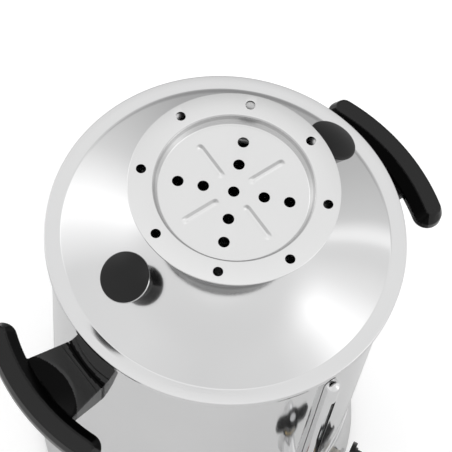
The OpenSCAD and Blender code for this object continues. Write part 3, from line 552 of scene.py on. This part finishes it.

# %% [markdown]
# ## The lid's knobs
# Each knob is a mushroom: a foot, a cone that widens to a fine rim and a slightly domed face. It is
# turned upright and then leaned over to stand square on the dome. The rim of the left knob carries a
# painted highlight: a band of bright metal that shows as a thin line of light.

# %% Knobs
KNOB_TILT, KNOB_H, KNOB_POLE = 25.52, 25.05, 0.2
CAP_R, CAP_CURVE = 17.1, 65.25
RIM_R, RIM_DROP, RIM_TURN = 16.79, 3.44, 114
WAIST_R, WAIST_Z = 11.15, 7.49
FLUTE_R, FLUTE_Z, FLUTE_TURN = 14.8, 5.86, 24
KNOB_FOOT_R, KNOB_GAP = 10.8, 0.15
# The band of the left knob's rim that gets the painted highlight.
HIGHLIGHT_R, HIGHLIGHT_DROP = 17.55, 3.65


def knob(name, side, node_name):
    swell = math.degrees(math.asin(CAP_R / CAP_CURVE))
    stroke = Stroke(KNOB_POLE, KNOB_H).arc(0, KNOB_H - CAP_CURVE, swell, 14)
    stroke.arc(RIM_R, KNOB_H - RIM_DROP, RIM_TURN - swell, 12)
    stroke.line(WAIST_R, WAIST_Z).arc(FLUTE_R, FLUTE_Z, -FLUTE_TURN, 5)
    stroke.line(KNOB_FOOT_R, KNOB_GAP).line(KNOB_POLE, KNOB_GAP)
    bm = stroke.turned(SMALL)
    close_up(bm)
    for f in bm.faces:
        spot = f.calc_center_median() / MM
        # Faces in that band, on the left knob only, get the painted highlight.
        on_highlight = math.hypot(spot.x, spot.y) > HIGHLIGHT_R and spot.z > KNOB_H - HIGHLIGHT_DROP
        f.material_index = int(side < 0 and on_highlight)
    lean = Matrix.Translation((0, 0, DOME_Z * MM)) \
        @ Matrix.Rotation(math.radians(side * KNOB_TILT), 4, "Y") \
        @ Matrix.Translation((0, 0, DOME_R * MM))
    bmesh.ops.transform(bm, matrix=lean, verts=bm.verts)
    made = piece(name, bm, black_moulding, "lid", [node_name], 50)
    made.data.materials.append(worn_edge)
    print(name, "faces:", len(made.data.polygons))


knob("knob_left", -1, "lid_knob_left")
knob("knob_right", 1, "lid_knob_right")

# %% [markdown]
# ## The handles
# A handle is one thick moulding: a bowed grip on a short neck that narrows towards the tank and has a
# thumb hollow. The grip starts as a flat plan with round tips, is raised to a plank, and its top and
# bottom faces are drawn in while they rise, which chamfers the edges all round. On the outside the
# top is then pushed out again, so that the chamfer is widest towards the tank.

# %% Grip
GRIP_REACH, GRIP_CURVE, GRIP_Z = 169.7, 158.0, BRIM_Z - 70
GRIP_HALF, GRIP_T, GRIP_H = 63.6, 22.6, 18.0
GRIP_SLOPE, GRIP_INSET, GRIP_SOFT = 7.0, 8.7, 4.0
OUTER_INSET = 2
GRIP_MIDDLE = GRIP_REACH - GRIP_CURVE
GRIP_END = math.degrees(math.asin((GRIP_HALF - GRIP_T / 2) / GRIP_CURVE))
END = math.radians(GRIP_END)


def from_bow(x, y, unit):
    """The way out from the grip's bowed middle line at a spot, and the spot's place across it."""
    turn = max(-END, min(END, math.atan2(y, x - GRIP_MIDDLE * unit)))
    outward = Vector((math.cos(turn), math.sin(turn), 0))
    across = Vector((x - GRIP_MIDDLE * unit, y, 0)) - outward * GRIP_CURVE * unit
    return outward, across


def grip_plan():
    """The grip seen from above, as one closed face on the XZ plane."""
    out = GRIP_CURVE + GRIP_T / 2
    tip_x, tip_y = GRIP_MIDDLE + GRIP_CURVE * math.cos(END), GRIP_CURVE * math.sin(END)
    plan = Stroke(GRIP_MIDDLE + out * math.cos(END), -out * math.sin(END))
    plan.arc(GRIP_MIDDLE, 0, -2 * GRIP_END, 60).arc(tip_x, tip_y, -180, 28)
    plan.arc(GRIP_MIDDLE, 0, 2 * GRIP_END, 60).arc(tip_x, -tip_y, -180, 28)
    bmesh.ops.remove_doubles(plan.bm, verts=plan.bm.verts, dist=SAME_SPOT)
    bmesh.ops.contextual_create(plan.bm, geom=plan.bm.edges)
    return plan.bm


def grip_plank():
    """The grip with its chamfers, lying on X."""
    bm = grip_plan()
    bmesh.ops.transform(bm, matrix=Matrix.Rotation(-math.pi / 2, 4, "X"), verts=bm.verts)
    low, high = GRIP_Z - GRIP_H / 2 + GRIP_SOFT, GRIP_Z + GRIP_H / 2 - GRIP_SLOPE
    bmesh.ops.translate(bm, vec=(0, 0, low * MM), verts=bm.verts)
    lifted = points_of(bmesh.ops.extrude_face_region(bm, geom=bm.faces[:])["geom"])
    bmesh.ops.translate(bm, vec=(0, 0, (high - low) * MM), verts=lifted)
    close_up(bm)
    for up, draw, inset in ((1, GRIP_SLOPE, GRIP_INSET), (-1, GRIP_SOFT, GRIP_SOFT)):
        cap = [f for f in bm.faces if f.normal.z * up > 0.9]
        bmesh.ops.inset_region(bm, faces=cap, thickness=inset * MM, depth=draw * MM,
                               use_even_offset=True)
    for v in bm.verts:
        if v.co.z > (high + 1) * MM:  # the points of the raised top
            outward, across = from_bow(v.co.x, v.co.y, MM)
            share = 0.5 + 0.5 * across.normalized().dot(outward)
            v.co += across.normalized() * share * (GRIP_INSET - OUTER_INSET) * MM
    return bm


# %% [markdown]
# The neck is a block that is wider and shallower where it meets the grip, and a large ball scoops the
# thumb hollow out of its top.

# %% Handle neck
ROOT_X, ROOT_HALF, ROOT_DEEP = 118, 20.6, 30
JOIN_X, JOIN_HALF, JOIN_DEEP = 168, 30.7, 7
BALL_R, BALL_X, BALL_RISE = 65, 172.3, 56.4


def neck_block():
    """The neck with its thumb hollow, as a mesh of its own."""
    bm = bmesh.new()
    for v in bmesh.ops.create_cube(bm, size=1.0)["verts"]:
        outer, top = v.co.x > 0, v.co.z > 0
        x, half, deep = (JOIN_X, JOIN_HALF, JOIN_DEEP) if outer else (ROOT_X, ROOT_HALF, ROOT_DEEP)
        z = GRIP_Z if top else GRIP_Z - deep
        v.co = (x * MM, math.copysign(half, v.co.y) * MM, z * MM)
    bmesh.ops.recalc_face_normals(bm, faces=bm.faces)
    neck_solid = piece("neck_block", bm, black_moulding, None)
    scoop = bmesh.new()
    ball = bmesh.ops.create_uvsphere(scoop, u_segments=160, v_segments=80, radius=BALL_R * MM)
    bmesh.ops.translate(scoop, vec=(BALL_X * MM, 0, (GRIP_Z + BALL_RISE) * MM), verts=ball["verts"])
    cut_with(neck_solid, scoop)
    mesh = neck_solid.data
    bpy.data.objects.remove(neck_solid)
    return mesh


# %% [markdown]
# The moulding has three blacks. Most of it is glossy. The grip's side towards the tank, the hollow
# and the root at the tank see little light, so they get painted shade: a deeper black with less gloss.
# The neck's flanks are satin.

# %% Handle finishes
# The second black is painted shade.
GLOSSY, PAINTED_SHADE, SATIN = 0, 1, 2
INNER_LEAN, INNER_TOP = 0.3, GRIP_Z + 8.2
INNER_X, INNER_HALF = 154.5, 32
HOLLOW_X, HOLLOW_R, HOLLOW_END = 186.3, 45, 160
ROOT_R = 127.2
SATIN_X, SATIN_HALF = 155.5, 31


def handle_finish(spot):
    """Which of the three blacks a spot has, on a handle that lies on X."""
    outward, across = from_bow(spot.x, spot.y, 1.0)
    clear_of_neck = spot.x > INNER_X or abs(spot.y) > INNER_HALF
    faces_in = across.dot(outward) < -INNER_LEAN * across.length
    inward = faces_in and spot.z < INNER_TOP and clear_of_neck
    hollow = math.hypot(spot.x - HOLLOW_X, spot.y) < HOLLOW_R and spot.x < HOLLOW_END
    root = math.hypot(spot.x, spot.y) < ROOT_R
    # Painted shade on the grip's inner side, the hollow and the root.
    if inward or hollow or root:
        return PAINTED_SHADE
    return SATIN if spot.x < SATIN_X and abs(spot.y) < SATIN_HALF else GLOSSY


# %% [markdown]
# Grip and neck are remeshed as one skin, which rounds every corner the way a mould does. The tank's
# curve is then cut out of the root, and a fine groove runs across the neck beside it.

# %% Handles
VOXEL = 0.7
RELAX_ROUNDS, RELAX = 5, 0.5
TANK_GAP, TANK_CUT_H = 0.3, 200
GROOVE_SIZE, GROOVE_X = (1.0, 60, 2), 129.4


def handle(name, turn, node_name):
    bm = grip_plank()
    bm.from_mesh(neck_block())
    made = piece(name, bm, black_moulding, "base", [node_name])
    skin = made.modifiers.new("skin", "REMESH")
    skin.mode = "VOXEL"
    skin.voxel_size = VOXEL * MM
    relax = made.modifiers.new("relax", "SMOOTH")
    relax.iterations = RELAX_ROUNDS
    relax.factor = RELAX
    settle(made)
    tank_curve = bmesh.new()
    rod(tank_curve, TANK_R + TANK_GAP, TANK_CUT_H, 256, Matrix.Translation((0, 0, GRIP_Z * MM)))
    cut_with(made, tank_curve)
    cut_with(made, block(GROOVE_SIZE, (GROOVE_X, 0, GRIP_Z)))
    made.data.materials.append(deep_black)
    made.data.materials.append(satin_black)
    for f in made.data.polygons:
        f.material_index = handle_finish(f.center / MM)
    made.data.transform(Matrix.Rotation(math.radians(turn), 4, "Z"))
    print(name, "faces:", len(made.data.polygons))


handle("grip_right", 0, "handle_right")
handle("grip_left", 180, "handle_left")

# %% [markdown]
# ## Tank and base
# The tank is a drawn pot with a turned-out rim that the lid stands on, and the base is a spun trumpet
# with an upright band. Both are polished like the lid.

# %% Tank
TANK_POLE, FLOOR_Z, FLOOR_ROUND = 0.5, 70, 12
TANK_RIM_R, TANK_BULGE_R = 127.2, 127.6
WALL_TOP, RIM_LOW, BULGE_Z, RIM_TOP = 372.2, 372.6, 373.2, 374
tank_stroke = Stroke(TANK_POLE, FLOOR_Z).line(TANK_R - FLOOR_ROUND, FLOOR_Z)
tank_stroke.arc(TANK_R - FLOOR_ROUND, FLOOR_Z + FLOOR_ROUND, -90, 14).line(TANK_R, WALL_TOP)
tank_stroke.line(TANK_RIM_R, RIM_LOW).line(TANK_BULGE_R, BULGE_Z).line(TANK_RIM_R, RIM_TOP)
tank_skin = tank_stroke.turned(LARGE)
face_out(tank_skin, looks_outwards)
tank = piece("tank_shell", tank_skin, mirror_steel, "base",
             ["tank", "tank_floor"], 35)
tank.data.materials.append(bare_steel)
give_thickness(tank, SHEET, 1)
print("tank faces before its wall:", len(tank.data.polygons))

# %% Base
BASE_R, SKIRT_R, FLARE_FALL = 137.0, 126.1, 76.0
BAND_TOP, FLARE_TOP = 105.9, 100
BASE_LOW, BASE_ROUND, BASE_TURN_IN = 9.5, 1.5, 10
INLET_HOLE, INLET_Y, INLET_Z = (28.4, 60, 22.4), BASE_R - 10, 52
flare_curve = (FLARE_FALL ** 2 + (BASE_R - SKIRT_R) ** 2) / (2 * (BASE_R - SKIRT_R))
flare_angle = math.degrees(math.asin(FLARE_FALL / flare_curve))
base_stroke = Stroke(SKIRT_R, BAND_TOP).line(SKIRT_R, FLARE_TOP)
base_stroke.arc(SKIRT_R + flare_curve, FLARE_TOP, -flare_angle, 36)
base_stroke.line(BASE_R, BASE_LOW + BASE_ROUND)
base_stroke.arc(BASE_R - BASE_ROUND, BASE_LOW + BASE_ROUND, 90, 6)
base_stroke.line(BASE_R - BASE_TURN_IN, BASE_LOW)
base_skin = base_stroke.turned(LARGE)
face_out(base_skin, looks_outwards)
base = piece("base_flare", base_skin, mirror_steel, "base", ["base_skirt"], 35)
give_thickness(base, SHEET)
cut_with(base, block(INLET_HOLE, (0, INLET_Y, INLET_Z)))
print("base flares over", round(flare_curve), "mm radius")

# %% [markdown]
# ## Studio
# The photo was taken in a white studio. What shows on the mirror-bright metal is the light round it:
# tall bright panels left and right, plain pale walls between them, and a shadier side behind. The
# world holds that light, as a level for each compass direction, counted from the viewer's side, and
# a ceiling that is brightest straight above. The viewer sees plain white.

# %% World
TO_RIGHT, TO_VIEWER = (0.6921, -0.7218, 0), (-0.7218, -0.6921, 0)
BRIGHTEST = 2.0
OVER_FROM, OVER_FULL = 0.68, 0.88
CEILING_FAR, CEILING_NEAR = 0.56, 0.48
ZENITH_FROM, ZENITH_LIFT = 0.93, 0.1
shady_back = ((-180, 0.5), (-165, 0.58), (-140, 0.97))
left_panel = ((-117, 1.75), (-105, 1.35), (-89, 1.02))
near_wall = ((-40, 1.04), (0, 0.96), (45, 1.01))
right_panel = ((60, 1.15), (80, 1.8), (100, 1.2), (113, 1.0))
narrow_strip = ((119.5, 1.02), (120.5, 1.33), (124, 1.36))
dim_corner = ((129, 0.89), (146, 0.72), (180, 0.5))
levels = shady_back + left_panel + near_wall + right_panel + narrow_strip + dim_corner


def towards(tree, look, way):
    """How far a direction points along a given way."""
    return node(tree, "ShaderNodeVectorMath", {"operation": "DOT_PRODUCT"}, {0: look, 1: way}, 1)


def ramp_up(tree, value, start, stop, low=0.0, high=1.0, kind="SMOOTHSTEP"):
    return node(tree, "ShaderNodeMapRange", {"interpolation_type": kind}, {
        "Value": value, "From Min": start, "From Max": stop, "To Min": low, "To Max": high})


def blend(tree, low, high, amount):
    return node(tree, "ShaderNodeMix", {"data_type": "FLOAT"},
                {"Factor": amount, "A": low, "B": high})


def studio():
    world = bpy.data.worlds.new("studio")
    bpy.context.scene.world = world
    world.use_nodes = True
    tree = world.node_tree
    tree.nodes.clear()
    look = node(tree, "ShaderNodeTexCoord")
    side, near = towards(tree, look, TO_RIGHT), towards(tree, look, TO_VIEWER)
    height = node(tree, "ShaderNodeSeparateXYZ", sockets={0: look}, out=2)
    turn = node(tree, "ShaderNodeMath", {"operation": "ARCTAN2"}, {0: side, 1: near})
    compass = turn / math.tau + 0.5
    stops = [((angle + 180) / 360, level / BRIGHTEST) for angle, level in levels]
    walls = node(tree, "ShaderNodeValToRGB", {"stops": stops}, {0: compass})
    over = ramp_up(tree, height, OVER_FROM, OVER_FULL)
    ceiling = ramp_up(tree, near, -0.5, 0.5, CEILING_FAR, CEILING_NEAR, "LINEAR")
    zenith = ramp_up(tree, height, ZENITH_FROM, 1.0, 0.0, ZENITH_LIFT)
    level = blend(tree, walls, ceiling + zenith, over) * BRIGHTEST
    camera_ray = node(tree, "ShaderNodeLightPath")
    light = node(tree, "ShaderNodeBackground", sockets={
        "Color": (1, 1, 1, 1), "Strength": blend(tree, level, 1.0, camera_ray)})
    out = tree.nodes.new("ShaderNodeOutputWorld")
    tree.links.new(light.socket, out.inputs["Surface"])
    print("light levels round the compass:", len(levels))


studio()

# %% [markdown]
# The floor is plain and pale. A little light of its own, which shows only straight to the viewer or
# through the glass, makes it as white as in the photo and leaves the metal as it is.

# %% Floor
FLOOR_R = 1.6
FLOOR_LIFT, FLOOR_MOTTLE = 0.3, 8.0
CAMERA_RAY, THROUGH_GLASS = 0, 6


def pale_floor():
    material, tree, place = blank_finish("pale_floor")
    mottle = noise(tree, place, FLOOR_MOTTLE)
    pale = shade(tree, (0.80, 0.80, 0.80), (0.82, 0.82, 0.82), mottle)
    matt = node(tree, "ShaderNodeBsdfDiffuse", sockets={"Color": pale})
    camera_ray = node(tree, "ShaderNodeLightPath", out=CAMERA_RAY)
    through = node(tree, "ShaderNodeLightPath", out=THROUGH_GLASS)
    lift = node(tree, "ShaderNodeEmission",
                sockets={"Strength": (camera_ray + through) * FLOOR_LIFT})
    put_out(tree, node(tree, "ShaderNodeAddShader", sockets={0: matt, 1: lift}))
    bm = bmesh.new()
    bmesh.ops.create_circle(bm, cap_ends=True, segments=96, radius=FLOOR_R)
    mesh = bpy.data.meshes.new("floor")
    bm.to_mesh(mesh)
    bm.free()
    mesh.materials.append(material)
    floor = bpy.data.objects.new("floor", mesh)
    bpy.context.scene.collection.objects.link(floor)
    print("floor radius", FLOOR_R, "m")


pale_floor()

# %% [markdown]
# ## Camera
# The camera looks down on the lid from the front left, high up and a little rolled. Its place and its
# three axes come from the eight holes of the flange and the rim's oval in the photo. The lens follows
# from the same fit, as a distance in the photo's pixels.

# %% Camera
RIGHT = Vector((0.79063, -0.6079, 0.0732))
UP = Vector((0.524, 0.73355, 0.4328))
BACK = Vector((-0.31679, -0.30378, 0.8985))
EYE = (-0.41861, -0.39967, 1.5713)
SENSOR, LENS_PX, PHOTO_PX = 36, 1860, 452
camera = bpy.data.objects.new("camera", bpy.data.cameras.new("camera"))
bpy.context.scene.collection.objects.link(camera)
camera.data.sensor_width = SENSOR
camera.data.lens = SENSOR * LENS_PX / PHOTO_PX
axes = Matrix((RIGHT, UP, BACK)).transposed().to_4x4()
camera.matrix_world = Matrix.Translation(EYE) @ axes
bpy.context.scene.camera = camera
bpy.context.scene.view_settings.view_transform = "Standard"
print("camera height", round(camera.location.z, 3), "m")
